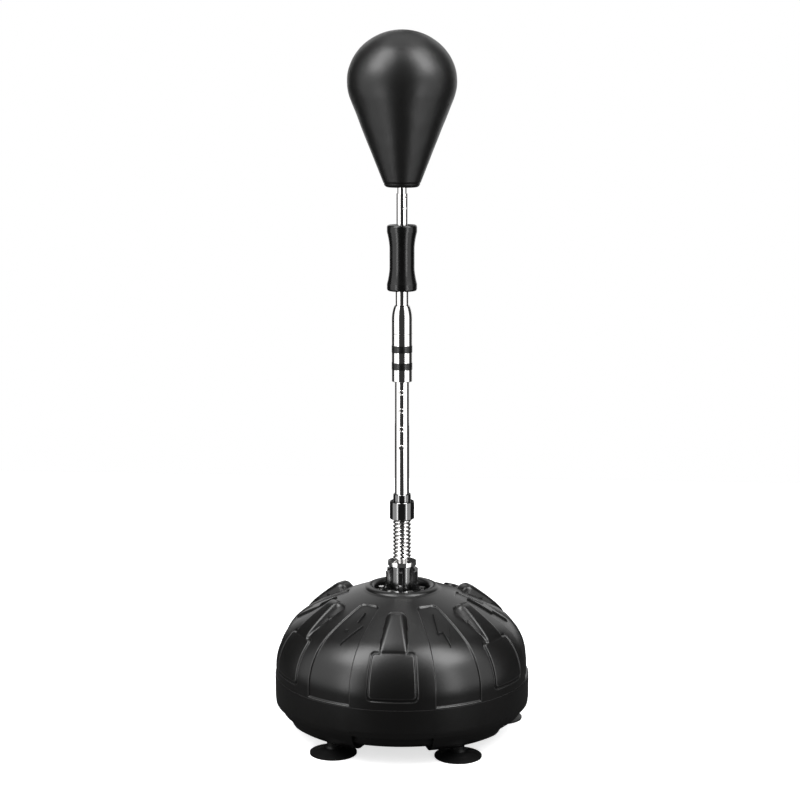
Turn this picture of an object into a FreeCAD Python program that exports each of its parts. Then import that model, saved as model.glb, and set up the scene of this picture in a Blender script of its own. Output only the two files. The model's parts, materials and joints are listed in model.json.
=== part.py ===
import FreeCAD, Part
import Sketcher
import math
import os
from types import SimpleNamespace

# A free-standing reflex ball stand: ballast tank on suction cups, coil spring,
# telescopic mast and a small padded ball. +Z is up, the front faces -Y, and the
# origin is on the floor under the mast. All lengths are in millimetres.

RIBS = 6
FEET = 5
HUB_BOLTS = 6
MAST_HOLES = 4

dimensions = {
    # ballast tank
    "base_radius": 225.0,
    "seam_step": 1.2,
    "seam_height": 103.0,
    "shoulder_height": 120.5,
    "shoulder_curve": 100.0,
    "crown_curve": 480.0,
    "rim_radius": 66.0,
    "rim_width": 17.0,
    "recess_depth": 11.0,
    "seat_thickness": 24.0,
    "corner_curve": 44.0,
    "foot_height": 20.0,
    "floor_gap": 34.0,
    "lip_height": 54.0,
    "lip_depth": 12.0,
    "tank_wall": 7.5,
    "wedge_depth": 3.0,
    "wedge_inner_radius": 95.0,
    "panel_rise": 1.2,
    "hood_radius": 122.0,
    "hood_rise": 13.0,
    "hood_width": 40.0,
    "fill_bore": 15.0,
    "fill_boss_rise": 1.0,
    "fill_boss_depth": 10.0,
    "fill_boss_wall": 5.0,
    "cap_thickness": 6.0,
    "gasket_thickness": 1.5,
    # suction cups
    "cup_inset": 43.0,
    "cup_radius": 40.5,
    "cup_rim": 2.2,
    "cup_neck": 11.0,
    "stud_radius": 3.0,
    "stud_length": 26.0,
    # hub and its bolts
    "flange_gap": 2.5,
    "flange_thickness": 6.0,
    "core_radius": 21.0,
    "hub_height": 52.7,
    "gusset_reach": 38.0,
    "gusset_width": 6.0,
    "hub_bolt_circle": 36.0,
    "hub_bolt_radius": 3.0,
    "hub_bolt_length": 22.0,
    "washer_radius": 7.0,
    "washer_thickness": 1.2,
    "bolt_head_height": 5.0,
    "anchor_radius": 6.0,
    # spring and its ends
    "plate_lip": 10.0,
    "plate_thickness": 7.3,
    "spring_radius": 15.0,
    "spring_wire": 5.6,
    "spring_length": 90.0,
    "spring_pitch": 7.4,
    "plug_length": 26.0,
    "collar_overlap": 14.1,
    "collar_wall": 6.2,
    "collar_step": 31.5,
    "collar_neck_wall": 3.0,
    "collar_length": 44.9,
    # telescopic mast
    "lower_tube_diameter": 25.0,
    "lower_tube_length": 293.0,
    "tube_wall": 1.0,
    "lower_nest_gap": 0.3,
    "middle_tube_length": 330.0,
    "middle_tube_insert": 220.0,
    "upper_nest_gap": 0.5,
    "top_tube_wall": 1.5,
    "top_tube_length": 247.6,
    "top_tube_insert": 100.0,
    "hole_radius": 4.0,
    "hole_pitch": 32.4,
    "lowest_hole_drop": 182.2,
    "button_proud": 1.5,
    # twist lock on the lower tube
    "barrel_wall": 5.35,
    "barrel_length": 83.4,
    "barrel_overlap": 66.4,
    "band_height": 12.2,
    "band_pitch": 29.8,
    "band_depth": 0.8,
    "nut_length": 49.2,
    "nut_straight": 26.6,
    "nut_top_wall": 2.3,
    # hand clutch
    "grip_length": 113.4,
    "grip_end_wall": 8.7,
    "grip_waist_wall": 4.2,
    "grip_overlap": 18.8,
    "clutch_wall": 2.9,
    "sleeve_wall": 3.2,
    # ball and stem
    "stem_hole_radius": 2.8,
    "stem_hole_pitch": 18.8,
    "stem_hole_drop": 24.9,
    "stem_azimuth": 31.0,
    "stem_length": 105.0,
    "ball_gap": 10.8,
    "ball_radius": 93.3,
    "ball_side_curve": 81.0,
    "ball_widest": 178.1,
    "ball_corner": 8.0,
    "cover_thickness": 3.0,
    "padding_thickness": 9.0,
    "bladder_thickness": 2.0,
    # clearances
    "running_fit": 0.07,
    "free_gap": 0.3,
    "seat_gap": 0.05,
}

# slopes of the round stretches
CROWN_ANGLE = math.radians(59.0)
PANEL_ANGLE = math.radians(47.6)
FILL_SLOPE = math.radians(30.0)
FILL_AZIMUTH = math.radians(60.0)
BALL_TOP_ANGLE = math.radians(46.0)
BALL_CONE_ANGLE = math.radians(21.6)

doc = FreeCAD.newDocument("ReflexBallStand")
sheet = doc.addObject("Spreadsheet::Sheet", "Dimensions")
parts = []


class Size:
    # a length with its formula on the sheet, so that every use stays bound to it
    def __init__(self, text, value):
        self.text = text
        self.value = value

    def joined(self, sign, other, value):
        return Size(f"({self.text} {sign} {other.text})", value)

    def __add__(self, other):
        other = as_size(other)
        return self.joined("+", other, self.value + other.value)

    def __sub__(self, other):
        other = as_size(other)
        return self.joined("-", other, self.value - other.value)

    def __mul__(self, other):
        other = as_size(other)
        return self.joined("*", other, self.value * other.value)

    def __truediv__(self, other):
        other = as_size(other)
        return self.joined("/", other, self.value / other.value)

    def __radd__(self, other):
        return as_size(other) + self

    def __rsub__(self, other):
        return as_size(other) - self

    def __rmul__(self, other):
        return as_size(other) * self

    def __neg__(self):
        return as_size(0.0) - self

    def root(self):
        return Size(f"sqrt({self.text})", math.sqrt(self.value))


def as_size(thing):
    if isinstance(thing, Size):
        return thing
    return Size(f"({float(thing)!r})", float(thing))


def fill_sheet():
    sizes = SimpleNamespace()
    for row, (alias, value) in enumerate(dimensions.items(), start=1):
        sheet.set(f"A{row}", alias)
        sheet.set(f"B{row}", str(value))
        sheet.setAlias(f"B{row}", alias)
        setattr(sizes, alias, Size(f"Dimensions.{alias}", value))
    doc.recompute()
    return sizes


def bind(thing, prop, size):
    thing.setExpression(prop, as_size(size).text)


def place(thing, x=0, y=0, z=0):
    for axis, size in (("x", x), ("y", y), ("z", z)):
        bind(thing, f"Placement.Base.{axis}", size)


def keep(thing, label):
    # the finished sub-part: its label names its file
    thing.Label = label
    parts.append(thing)
    return thing


def origin_feature(body, role):
    for feature in body.Origin.OriginFeatures:
        if feature.Role == role:
            return feature
    raise ValueError(role)


# ---- primitives and booleans ----


def cylinder(name, radius, bottom, top, x=0, y=0):
    rod = doc.addObject("Part::Cylinder", name)
    bind(rod, "Radius", radius)
    bind(rod, "Height", as_size(top) - bottom)
    place(rod, x, y, bottom)
    return rod


def hexagon(name, radius, bottom, top, x=0, y=0):
    head = doc.addObject("Part::Prism", name)
    head.Polygon = 6
    bind(head, "Circumradius", radius)
    bind(head, "Height", as_size(top) - bottom)
    place(head, x, y, bottom)
    return head


def along(name, radius, start, end, foot, axis):
    # a rod from one distance along an axis to another, counted from the axis's foot
    rod = doc.addObject("Part::Cylinder", name)
    rod.Placement.Rotation = FreeCAD.Rotation(FreeCAD.Vector(0, 0, 1), axis)
    bind(rod, "Radius", radius)
    bind(rod, "Height", as_size(end) - start)
    place(rod, *[at + as_size(start) * way for at, way in zip(foot, axis)])
    return rod


def crossways(name, radius, start, end, height, azimuth=0.0):
    # a level rod between two distances off the mast's axis; azimuth 0 is the front
    # and grows towards +X
    angle = math.radians(azimuth)
    outward = FreeCAD.Vector(math.sin(angle), -math.cos(angle), 0)
    return along(name, radius, start, end, (as_size(0), as_size(0), height), outward)


def fused(name, pieces):
    joint = doc.addObject("Part::MultiFuse", name)
    joint.Shapes = pieces
    return joint


def common(name, solid, space):
    # the part of a solid that lies in a space
    shared = doc.addObject("Part::Common", name)
    shared.Base = solid
    shared.Tool = space
    return shared


def cut(name, base, tools):
    result = doc.addObject("Part::Cut", name)
    result.Base = base
    result.Tool = tools[0] if len(tools) == 1 else fused(name + "Tools", tools)
    return result


def group(name, pieces):
    together = doc.addObject("Part::Compound", name)
    together.Links = pieces
    return together


def tube(name, outer, inner, bottom, top, x=0, y=0):
    wall = cylinder(name + "Outer", outer, bottom, top, x, y)
    hole = cylinder(name + "Bore", inner, as_size(bottom) - 1, as_size(top) + 1, x, y)
    return cut(name, wall, [hole])


def round_pattern(count, radius, first=0.0):
    # x and y of each place on a circle, with angles from +X
    places = []
    for step in range(count):
        angle = math.radians(first + step * 360.0 / count)
        places.append((as_size(radius) * math.cos(angle), as_size(radius) * math.sin(angle)))
    return places


# ---- sketched bodies ----


def add_outline(sketch, outline):
    # outline: (radius, height) points of a closed section. A third value is the radius
    # of the arc that leads to that point, and a fourth is 1 or -1 for its side.
    count = len(outline)
    points = [(as_size(point[0]), as_size(point[1])) for point in outline]
    vectors = [FreeCAD.Vector(across.value, up.value, 0) for across, up in points]
    ends = []
    for index in range(count):
        start = vectors[index]
        stop = vectors[(index + 1) % count]
        run = outline[(index + 1) % count]
        if len(run) == 2:
            sketch.addGeometry(Part.LineSegment(start, stop), False)
            ends.append((1, 2))
            continue
        radius = as_size(run[2])
        half = (stop - start).Length / 2
        rise = radius.value - math.sqrt(radius.value**2 - half**2)
        side = FreeCAD.Vector(-(stop - start).y, (stop - start).x, 0).normalize() * run[3]
        sketch.addGeometry(Part.Arc(start, (start + stop) * 0.5 + side * rise, stop), False)
        first = 1 if (sketch.getPoint(index, 1) - start).Length < 1e-4 else 2
        ends.append((first, 3 - first))
        bound = sketch.addConstraint(Sketcher.Constraint("Radius", index, radius.value))
        sketch.setExpression(f"Constraints[{bound}]", radius.text)
    for index in range(count):
        after = (index + 1) % count
        join = Sketcher.Constraint("Coincident", index, ends[index][1], after, ends[after][0])
        sketch.addConstraint(join)
    for index, (across, up) in enumerate(points):
        for kind, size, line in (("DistanceX", across, -2), ("DistanceY", up, -1)):
            if size.value == 0.0:
                on_axis = Sketcher.Constraint("PointOnObject", index, ends[index][0], line)
                sketch.addConstraint(on_axis)
                continue
            measure = Sketcher.Constraint(kind, -1, 1, index, ends[index][0], size.value)
            bound = sketch.addConstraint(measure)
            sketch.setExpression(f"Constraints[{bound}]", size.text)


def sketch_on(body, name, plane, outline):
    sketch = body.newObject("Sketcher::SketchObject", name)
    sketch.AttachmentSupport = [(origin_feature(body, plane), "")]
    sketch.MapMode = "FlatFace"
    add_outline(sketch, outline)
    return sketch


def turn(body, name, plane, outline, angle=360.0, cuts=False):
    # a section turned round the upright axis, evenly to both sides of its plane
    sketch = sketch_on(body, name + "Outline", plane, outline)
    kind = "PartDesign::Groove" if cuts else "PartDesign::Revolution"
    feature = body.newObject(kind, name)
    feature.Profile = sketch
    feature.ReferenceAxis = (sketch, ["V_Axis"])
    feature.Angle = angle
    feature.Midplane = angle < 360.0
    return feature


def rib(body, name, plane, outline, width):
    # a section thickened evenly to both sides of its plane
    sketch = sketch_on(body, name + "Outline", plane, outline)
    feature = body.newObject("PartDesign::Pad", name)
    feature.Profile = sketch
    feature.Midplane = True
    bind(feature, "Length", width)
    return feature


def repeat(body, feature, count):
    doc.recompute()
    pattern = body.newObject("PartDesign::PolarPattern", feature.Name + "Ring")
    pattern.Originals = [feature]
    pattern.Axis = (origin_feature(body, "Z_Axis"), [""])
    pattern.Angle = 360.0
    pattern.Occurrences = count
    body.Tip = pattern
    return pattern


def turned_body(name, outline):
    body = doc.addObject("PartDesign::Body", name)
    turn(body, name + "Turn", "XZ_Plane", outline)
    return body


d = fill_sheet()

# ---- heights that several sub-parts share ----

shoulder_radius = d.base_radius - d.seam_step
shoulder_centre = shoulder_radius - d.shoulder_curve
crown_radius = shoulder_centre + d.shoulder_curve * math.cos(CROWN_ANGLE)
crown_height = d.shoulder_height + d.shoulder_curve * math.sin(CROWN_ANGLE)
crown_centre_radius = crown_radius - d.crown_curve * math.cos(CROWN_ANGLE)
crown_centre_height = crown_height - d.crown_curve * math.sin(CROWN_ANGLE)


def dome_height(radius, inset=0):
    # height of the dome's crown above a radius, for the outside or a wall inset
    reach = d.crown_curve - inset
    out = as_size(radius) - crown_centre_radius
    return crown_centre_height + (reach * reach - out * out).root()


recess_radius = d.rim_radius - d.rim_width
flange_radius = recess_radius - d.flange_gap
cup_circle = d.base_radius - d.cup_inset
plate_radius = d.spring_radius + d.plate_lip
collar_radius = d.spring_radius + d.free_gap + d.collar_wall
rim_foot = dome_height(d.rim_radius)
recess_floor = rim_foot - d.recess_depth
flange_top = recess_floor + d.flange_thickness
hub_top = recess_floor + d.hub_height
spring_bottom = hub_top + d.plate_thickness
spring_top = spring_bottom + d.spring_length
collar_bottom = spring_top - d.collar_overlap
collar_top = collar_bottom + d.collar_length
plug_flange = 3.0
tube_bottom = spring_top + plug_flange

lower_radius = d.lower_tube_diameter / 2
lower_bore = lower_radius - d.tube_wall
middle_radius = lower_bore - d.lower_nest_gap
middle_bore = middle_radius - d.tube_wall
top_radius = middle_bore - d.upper_nest_gap
top_bore = top_radius - d.top_tube_wall
stem_radius = top_bore - d.running_fit
collar_neck_radius = lower_radius + d.collar_neck_wall
barrel_radius = lower_radius + d.barrel_wall
nut_top_radius = middle_radius + d.nut_top_wall
clutch_radius = middle_radius + d.clutch_wall
grip_inside = clutch_radius + d.sleeve_wall
grip_end_radius = grip_inside + d.grip_end_wall
grip_waist_radius = grip_inside + d.grip_waist_wall

lower_tube_top = tube_bottom + d.lower_tube_length
barrel_bottom = lower_tube_top - d.barrel_overlap
barrel_top = barrel_bottom + d.barrel_length
middle_bottom = lower_tube_top - d.middle_tube_insert
middle_top = middle_bottom + d.middle_tube_length
top_bottom = middle_top - d.top_tube_insert
top_top = top_bottom + d.top_tube_length
grip_bottom = middle_top - d.grip_overlap
grip_top = grip_bottom + d.grip_length
button_height = lower_tube_top - d.lowest_hole_drop
stem_hole_height = top_top - d.stem_hole_drop
ball_bottom = top_top + d.ball_gap
ball_middle = ball_bottom + d.ball_widest


# ---- ballast tank ----


def dome_section(inset, lowest):
    # right-hand edge of the tank's wall from the lower corner up to the crown
    outer = d.base_radius - inset
    upper = shoulder_radius - inset
    return [
        (outer, d.corner_curve + lowest),
        (outer, d.seam_height),
        (upper, d.seam_height),
        (upper, d.shoulder_height),
        (
            shoulder_centre + (d.shoulder_curve - inset) * math.cos(CROWN_ANGLE),
            d.shoulder_height + (d.shoulder_curve - inset) * math.sin(CROWN_ANGLE),
            d.shoulder_curve - inset,
            -1,
        ),
    ]


def make_tank():
    tank = doc.addObject("PartDesign::Body", "BallastTank")
    lip_radius = d.base_radius - d.lip_depth
    outer = [
        (0, d.floor_gap),
        (lip_radius - 8, d.floor_gap),
        (lip_radius, d.floor_gap + 6),
        (lip_radius, d.lip_height),
        (d.base_radius - 1, d.lip_height),
    ]
    outer += dome_section(as_size(0), d.foot_height)
    outer += [
        (d.rim_radius, rim_foot, d.crown_curve, -1),
        (recess_radius, rim_foot + 2, 10.0, -1),
        (recess_radius, recess_floor),
        (0, recess_floor),
    ]
    turn(tank, "TankShell", "XZ_Plane", outer)

    # the feet's hollow lobes, which carry on the tank's lower corner
    lobe = [
        (cup_circle - 58, d.floor_gap + 1),
        (cup_circle - 54, d.foot_height),
        (d.base_radius - d.corner_curve, d.foot_height),
        (d.base_radius, d.foot_height + d.corner_curve, d.corner_curve, -1),
        (d.base_radius - d.lip_depth - 1, d.foot_height + d.corner_curve),
        (d.base_radius - d.lip_depth - 1, d.floor_gap + 1),
    ]
    repeat(tank, turn(tank, "FootLobe", "YZ_Plane", lobe, 36.0), FEET)

    # raised panel and rising hood on each rib
    panel_curve = d.shoulder_curve + d.panel_rise
    panel_top_radius = shoulder_centre + panel_curve * math.cos(PANEL_ANGLE)
    panel_top = d.shoulder_height + panel_curve * math.sin(PANEL_ANGLE)
    panel = [
        (shoulder_radius - 4, d.shoulder_height),
        (shoulder_centre + panel_curve, d.shoulder_height),
        (panel_top_radius, panel_top, panel_curve, -1),
        (panel_top_radius - 8, panel_top - 8),
    ]
    repeat(tank, turn(tank, "RibPanel", "YZ_Plane", panel, 21.0), RIBS)
    hood_top = dome_height(d.hood_radius) + d.hood_rise
    hood = [
        (d.hood_radius - 14, dome_height(d.hood_radius - 14) - 4),
        (panel_top_radius, panel_top - 10),
        (panel_top_radius, panel_top),
        (d.hood_radius, hood_top),
        (d.hood_radius - 8, hood_top - 4, 7.0, -1),
    ]
    repeat(tank, rib(tank, "RibHood", "YZ_Plane", hood, d.hood_width), RIBS)

    # sunk wedge between each pair of ribs
    inner = d.wedge_depth
    wedge = [
        (d.wedge_inner_radius, dome_height(d.wedge_inner_radius, inner)),
        (
            shoulder_centre + (d.shoulder_curve - inner) * math.cos(CROWN_ANGLE),
            d.shoulder_height + (d.shoulder_curve - inner) * math.sin(CROWN_ANGLE),
            d.crown_curve - inner,
            1,
        ),
        (shoulder_radius - inner, d.shoulder_height, d.shoulder_curve - inner, 1),
        (shoulder_radius - inner, d.seam_height),
        (d.base_radius + 5, d.seam_height),
        (d.base_radius + 5, dome_height(d.wedge_inner_radius) + 5),
        (d.wedge_inner_radius, dome_height(d.wedge_inner_radius) + 5),
    ]
    repeat(tank, turn(tank, "Wedge", "XZ_Plane", wedge, 22.0, True), RIBS)

    # hollow, with a thick seat left under the hub
    wall = d.tank_wall
    seat_edge = recess_radius + 4
    hollow = [
        (0, d.floor_gap + wall),
        (d.base_radius - d.lip_depth - 16, d.floor_gap + wall),
        (d.base_radius - wall - d.lip_depth, d.lip_height + 2),
    ]
    hollow += dome_section(wall, d.foot_height)
    hollow += [
        (seat_edge, dome_height(seat_edge, wall), d.crown_curve - wall, -1),
        (seat_edge, recess_floor - d.seat_thickness),
        (0, recess_floor - d.seat_thickness),
    ]
    turn(tank, "TankHollow", "XZ_Plane", hollow, 360.0, True)
    lobe_wall = wall - 1
    lobe_curve = d.corner_curve - lobe_wall
    lobe_hollow = [
        (cup_circle - 46, d.floor_gap + wall + 1),
        (cup_circle - 42, d.foot_height + lobe_wall),
        (d.base_radius - d.corner_curve, d.foot_height + lobe_wall),
        (d.base_radius - d.corner_curve + lobe_curve * 0.8, d.floor_gap + wall + 1, lobe_curve, -1),
    ]
    repeat(tank, turn(tank, "LobeHollow", "YZ_Plane", lobe_hollow, 28.0, True), FEET)

    # slanted fill boss on one back wedge, a stud boss in each foot, and their holes
    boss_radius = d.fill_bore + d.fill_boss_wall
    bosses = [along("FillBoss", boss_radius, -d.fill_boss_depth, d.fill_boss_rise, fill_foot, fill_axis)]
    deep = d.fill_boss_depth + 10
    holes = [along("FillBore", d.fill_bore, -deep, d.fill_boss_rise + 10, fill_foot, fill_axis)]
    for number, (x, y) in enumerate(round_pattern(FEET, cup_circle, 90.0)):
        top = d.foot_height + d.stud_length - 10
        low = d.foot_height + 3
        bosses.append(cylinder(f"StudBoss{number}", d.stud_radius + 5, low, top + 5, x, y))
        holes.append(cylinder(f"StudHole{number}", d.stud_radius + d.seat_gap, 0, top, x, y))
    for number, (x, y) in enumerate(round_pattern(HUB_BOLTS, d.hub_bolt_circle)):
        low = insert_bottom - d.seat_gap
        radius = insert_radius + d.seat_gap
        holes.append(cylinder(f"InsertHole{number}", radius, low, recess_floor + 1, x, y))
    whole = cut("TankFinished", fused("TankWithBosses", [tank] + bosses), holes)
    # moulded as two halves and welded round the seam
    lower = cylinder("LowerHalfSpace", d.base_radius + 10, 0, d.seam_height)
    upper = cylinder("UpperHalfSpace", d.base_radius + 10, d.seam_height, hub_top)
    keep(common("LowerHalf", whole, lower), "tank_lower")
    keep(common("UpperHalf", whole, upper), "tank_upper")


# the fill port stands square to the dome, where the crown has this slope
fill_radius = crown_centre_radius + d.crown_curve * math.sin(FILL_SLOPE)
fill_height = crown_centre_height + d.crown_curve * math.cos(FILL_SLOPE)
fill_foot = (fill_radius * math.cos(FILL_AZIMUTH), fill_radius * math.sin(FILL_AZIMUTH), fill_height)
fill_axis = FreeCAD.Vector(
    math.sin(FILL_SLOPE) * math.cos(FILL_AZIMUTH),
    math.sin(FILL_SLOPE) * math.sin(FILL_AZIMUTH),
    math.cos(FILL_SLOPE),
)
insert_radius = d.hub_bolt_radius + 2
insert_bottom = recess_floor - 18


def make_fill_cap():
    gasket_bottom = d.fill_boss_rise + d.seat_gap
    cap_bottom = gasket_bottom + d.gasket_thickness + d.seat_gap
    cap_top = cap_bottom + d.cap_thickness
    outer = d.fill_bore + d.fill_boss_wall
    plug_radius = d.fill_bore - d.free_gap
    plug_end = -d.fill_boss_depth

    def rod(name, radius, start, end):
        return along(name, radius, start, end, fill_foot, fill_axis)

    ring = rod("GasketDisc", outer - 1, gasket_bottom, cap_bottom - d.seat_gap)
    ring_hole = rod("GasketHole", plug_radius + 0.3, -1, cap_bottom + 1)
    keep(cut("Gasket", ring, [ring_hole]), "fill_cap_gasket")
    head = rod("CapHead", outer, cap_bottom, cap_top)
    plug = rod("CapPlug", plug_radius, plug_end, cap_bottom + 1)
    hollow = rod("CapHollow", plug_radius - 3, plug_end - 1, cap_bottom + 2)
    rings = []
    for number, reach in enumerate((0.35, 0.8)):
        rings.append(rod(f"CapGroove{number}", outer * reach, cap_top - 1, cap_top + 1))
    groove = cut("CapGroove", rings[1], [rings[0]])
    bar = doc.addObject("Part::Box", "CapBar")
    bar.Width = 5
    bar.Height = 2.5
    bind(bar, "Length", outer * 1.7)
    bar.Placement.Rotation = FreeCAD.Rotation(FreeCAD.Vector(0, 0, 1), fill_axis)
    side = bar.Placement.Rotation.multVec(FreeCAD.Vector(1, 0, 0))
    over = bar.Placement.Rotation.multVec(FreeCAD.Vector(0, 1, 0))
    corner = []
    for at, way, left, back in zip(fill_foot, fill_axis, side, over):
        corner.append(at + (cap_top - 1) * way - outer * 0.85 * left - 2.5 * back)
    place(bar, *corner)
    solid = cut("CapSolid", fused("CapBlank", [head, plug]), [hollow, groove])
    keep(fused("CapFinished", [solid, bar]), "fill_cap")


def make_suction_cups():
    studs = []
    for number, (x, y) in enumerate(round_pattern(FEET, cup_circle, 90.0), start=1):
        top = d.foot_height - d.seat_gap
        stud_bottom = d.foot_height - 10
        outline = [
            (0, 7.5),
            (d.cup_radius - 9, 2.5),
            (d.cup_radius - 5, 0),
            (d.cup_radius, 0),
            (d.cup_radius, d.cup_rim),
            (d.cup_radius - 13, 5.5),
            (d.cup_neck + 3, 10.5),
            (d.cup_neck, 14),
            (d.cup_neck, top),
            (d.stud_radius + d.seat_gap, top),
            (d.stud_radius + d.seat_gap, stud_bottom - d.seat_gap),
            (0, stud_bottom - d.seat_gap),
        ]
        cup = turned_body(f"SuctionCup{number}", outline)
        place(cup, x, y, 0)
        keep(cup, f"suction_cup_{number}")
        stud_top = stud_bottom + d.stud_length - 1
        studs.append(cylinder(f"CupStud{number}", d.stud_radius, stud_bottom, stud_top, x, y))
    keep(group("CupStuds", studs), "cup_studs")


# ---- hub, its bolts and the spring's seat ----


def make_hub():
    hub = doc.addObject("PartDesign::Body", "HubCasting")
    seat = recess_floor + d.seat_gap
    head_room = d.anchor_radius + 4.2
    outline = [
        (head_room, seat),
        (flange_radius, seat),
        (flange_radius, flange_top),
        (d.core_radius + 4, flange_top),
        (d.core_radius, flange_top + 4, 4.0, 1),
        (d.core_radius, hub_top - 1),
        (d.core_radius - 1, hub_top),
        (d.anchor_radius + d.seat_gap, hub_top),
        (d.anchor_radius + d.seat_gap, recess_floor + 11),
        (head_room, recess_floor + 11),
    ]
    turn(hub, "HubTurn", "XZ_Plane", outline)
    inside = d.core_radius - 3
    gusset = [
        (inside, flange_top - 1),
        (d.gusset_reach, flange_top - 1),
        (d.gusset_reach, flange_top + 1),
        (d.gusset_reach - 8, flange_top + 16, 26.0, -1),
        (d.gusset_reach - 8, hub_top - 9),
        (d.gusset_reach - 13, hub_top - 4, 5.0, 1),
        (inside, hub_top - 4),
    ]
    repeat(hub, rib(hub, "HubGusset", "YZ_Plane", gusset, d.gusset_width), RIBS)
    holes = []
    for number, (x, y) in enumerate(round_pattern(HUB_BOLTS, d.hub_bolt_circle)):
        radius = d.hub_bolt_radius + d.free_gap
        holes.append(cylinder(f"HubHole{number}", radius, recess_floor - 1, flange_top + 1, x, y))
    keep(cut("HubFinished", hub, holes), "hub")


def make_hub_fasteners():
    bolts = []
    washers = []
    inserts = []
    washer_top = flange_top + d.washer_thickness
    for number, (x, y) in enumerate(round_pattern(HUB_BOLTS, d.hub_bolt_circle)):
        shank_bottom = washer_top - d.hub_bolt_length
        radius = d.hub_bolt_radius
        shank = cylinder(f"BoltShank{number}", radius, shank_bottom, washer_top + 1, x, y)
        head_top = washer_top + d.bolt_head_height
        head = hexagon(f"BoltHead{number}", radius * 1.92, washer_top, head_top, x, y)
        bolts.append(fused(f"HubBolt{number}", [shank, head]))
        bore = radius + d.seat_gap
        washers.append(tube(f"Washer{number}", d.washer_radius, radius + 0.2, flange_top, washer_top, x, y))
        top = recess_floor - 0.2
        inserts.append(tube(f"Insert{number}", insert_radius, bore, insert_bottom, top, x, y))
    keep(group("HubBolts", bolts), "hub_bolts")
    keep(group("HubWashers", washers), "hub_washers")
    keep(group("HubInserts", inserts), "hub_inserts")


def make_spring_seat():
    hole = d.anchor_radius + d.seat_gap
    plate = tube("SeatPlate", plate_radius, hole, hub_top, spring_bottom)
    keep(plate, "spring_seat_plate")
    plug_radius = d.spring_radius - d.spring_wire - d.free_gap
    plug_top = spring_bottom + d.plug_length
    plug = tube("LowerPlug", plug_radius, hole, spring_bottom, plug_top)
    keep(plug, "lower_spring_plug")
    head_bottom = recess_floor + 2
    head_top = recess_floor + 11
    head = hexagon("AnchorHead", d.anchor_radius + 4, head_bottom, head_top)
    shank = cylinder("AnchorShank", d.anchor_radius, head_top - 1, plug_top - 2)
    keep(fused("AnchorBolt", [head, shank]), "anchor_bolt")


def make_reflex_spring():
    body = doc.addObject("PartDesign::Body", "ReflexSpring")
    sketch = body.newObject("Sketcher::SketchObject", "WireSection")
    sketch.AttachmentSupport = [(origin_feature(body, "XZ_Plane"), "")]
    sketch.MapMode = "FlatFace"
    coil = d.spring_radius - d.spring_wire / 2
    first = spring_bottom + d.spring_wire / 2
    centre = FreeCAD.Vector(coil.value, first.value, 0)
    circle = Part.Circle(centre, FreeCAD.Vector(0, 0, 1), d.spring_wire.value / 2)
    sketch.addGeometry(circle, False)
    limits = (
        Sketcher.Constraint("Radius", 0, d.spring_wire.value / 2),
        Sketcher.Constraint("DistanceX", -1, 1, 0, 3, coil.value),
        Sketcher.Constraint("DistanceY", -1, 1, 0, 3, first.value),
    )
    for limit, size in zip(limits, (d.spring_wire / 2, coil, first)):
        bound = sketch.addConstraint(limit)
        sketch.setExpression(f"Constraints[{bound}]", size.text)
    wire = body.newObject("PartDesign::AdditiveHelix", "SpringCoil")
    wire.Profile = sketch
    wire.ReferenceAxis = (sketch, ["V_Axis"])
    wire.Mode = "pitch-height-angle"
    bind(wire, "Pitch", d.spring_pitch)
    bind(wire, "Height", d.spring_length - d.spring_wire)
    wire.LeftHanded = False
    wire.Reversed = False
    keep(body, "reflex_spring")


# ---- lower mast ----


def make_collar():
    outline = [
        (d.spring_radius + d.free_gap, collar_bottom),
        (collar_radius - 1, collar_bottom),
        (collar_radius, collar_bottom + 1),
        (collar_radius, collar_bottom + d.collar_step - 1),
        (collar_radius - 1, collar_bottom + d.collar_step),
        (collar_neck_radius, collar_bottom + d.collar_step),
        (collar_neck_radius, collar_top - 1),
        (collar_neck_radius - 1, collar_top),
        (lower_radius + d.seat_gap, collar_top),
        (lower_radius + d.seat_gap, tube_bottom),
        (d.spring_radius + d.free_gap, tube_bottom),
    ]
    body = turned_body("SpringCollar", outline)
    hole = crossways("CollarPinHole", pin_radius + d.seat_gap, -30, 30, pin_height, 90.0)
    keep(cut("CollarFinished", body, [hole]), "spring_collar")

    plug_radius = d.spring_radius - d.spring_wire - d.free_gap
    plug = [
        (0, spring_top - d.plug_length - d.collar_overlap),
        (plug_radius, spring_top - d.plug_length - d.collar_overlap),
        (plug_radius, spring_top),
        (d.spring_radius, spring_top),
        (d.spring_radius, tube_bottom),
        (lower_bore - d.seat_gap, tube_bottom),
        (lower_bore - d.seat_gap, collar_top),
        (0, collar_top),
    ]
    body = turned_body("UpperPlug", plug)
    hole = crossways("PlugPinHole", pin_radius + d.seat_gap, -30, 30, pin_height, 90.0)
    keep(cut("UpperPlugFinished", body, [hole]), "upper_spring_plug")
    reach = collar_neck_radius + 2.4
    pin = crossways("CollarPin", pin_radius, -reach, reach, pin_height, 90.0)
    keep(pin, "collar_pin")


pin_radius = d.stud_radius
pin_height = (collar_bottom + d.collar_step + tube_bottom) / 2


def make_lower_tube():
    wall = tube("LowerTubeWall", lower_radius, lower_bore, tube_bottom, lower_tube_top)
    holes = [crossways("TubePinHole", pin_radius + d.seat_gap, -30, 30, pin_height, 90.0)]
    for number in range(MAST_HOLES):
        height = button_height + d.hole_pitch * number
        start = lower_bore - 3
        holes.append(crossways(f"MastHole{number}", d.hole_radius, start, lower_radius + 3, height))
    keep(cut("LowerTube", wall, holes), "lower_tube")


def band_bottom(number):
    return barrel_bottom + 21 + d.band_pitch * number


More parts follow.
